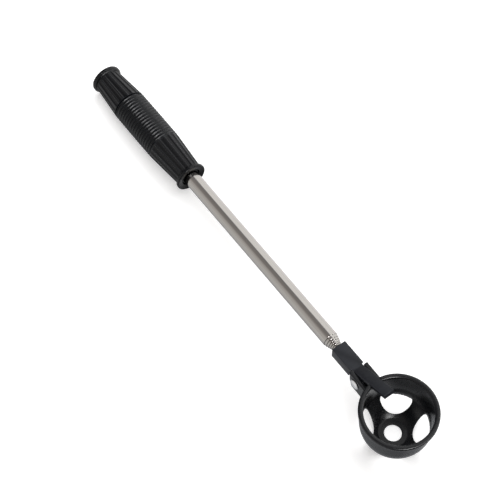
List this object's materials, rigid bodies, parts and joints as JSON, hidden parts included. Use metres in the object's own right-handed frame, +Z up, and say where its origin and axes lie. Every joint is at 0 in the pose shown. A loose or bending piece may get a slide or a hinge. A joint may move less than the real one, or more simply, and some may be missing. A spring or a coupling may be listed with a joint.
{
  "type": "golf ball retriever",
  "caption": "Telescopic golf ball retriever: fluted grip, nested steel tubes, and a hinged ball cup under a guard tongue.",
  "frame": {"origin": "on the floor, at the centre of the bounding box, with the tool pushed together and lying on the foot of its cup and on its butt flange", "axes": "+X along the tool from the grip to the cup, +Z up out of the mouth of the cup; the shaft rises 2.85 degrees from the butt to the head"},
  "size_m": [0.3778, 0.0548, 0.0469],
  "materials": {
    "grip_rubber": "satin moulded black rubber",
    "black_plastic": "matte moulded black nylon",
    "tube_steel": "polished stainless steel",
    "bright_steel": "bright plated steel",
    "brass": "plain brass"
  },
  "bodies": {
    "handle": {"grip": "grip_rubber", "grip_sleeve": "black_plastic", "butt_plug": "black_plastic", "outer_tube": "tube_steel"},
    "section_2": {"tube_2": "tube_steel", "friction_collar_2": "brass"},
    "section_3": {"tube_3": "tube_steel", "friction_collar_3": "brass"},
    "section_4": {"tube_4": "tube_steel", "friction_collar_4": "brass"},
    "section_5": {"tube_5": "tube_steel", "friction_collar_5": "brass"},
    "section_6": {"tube_6": "tube_steel", "friction_collar_6": "brass"},
    "head": {"tube_7": "tube_steel", "friction_collar_7": "brass", "head_stud": "bright_steel", "head_block": "black_plastic"},
    "cup": {"cup": "black_plastic", "hinge_rivet": "bright_steel", "rivet_washer": "bright_steel"}
  },
  "joints": [
    {"name": "section_2_slide", "type": "slide", "parent": "handle", "child": "section_2", "axis": [0.9988, 0, 0.0497], "range_m": [0, 0.24]},
    {"name": "section_3_slide", "type": "slide", "parent": "section_2", "child": "section_3", "axis": [0.9988, 0, 0.0497], "range_m": [0, 0.24]},
    {"name": "section_4_slide", "type": "slide", "parent": "section_3", "child": "section_4", "axis": [0.9988, 0, 0.0497], "range_m": [0, 0.24]},
    {"name": "section_5_slide", "type": "slide", "parent": "section_4", "child": "section_5", "axis": [0.9988, 0, 0.0497], "range_m": [0, 0.24]},
    {"name": "section_6_slide", "type": "slide", "parent": "section_5", "child": "section_6", "axis": [0.9988, 0, 0.0497], "range_m": [0, 0.24]},
    {"name": "head_slide", "type": "slide", "parent": "section_6", "child": "head", "axis": [0.9988, 0, 0.0497], "range_m": [0, 0.24]},
    {"name": "cup_hinge", "type": "hinge", "parent": "head", "child": "cup", "pos_m": [0.12528, 0, 0.0265], "axis": [0, 1, 0], "range_deg": [0, 95]}
  ]
}
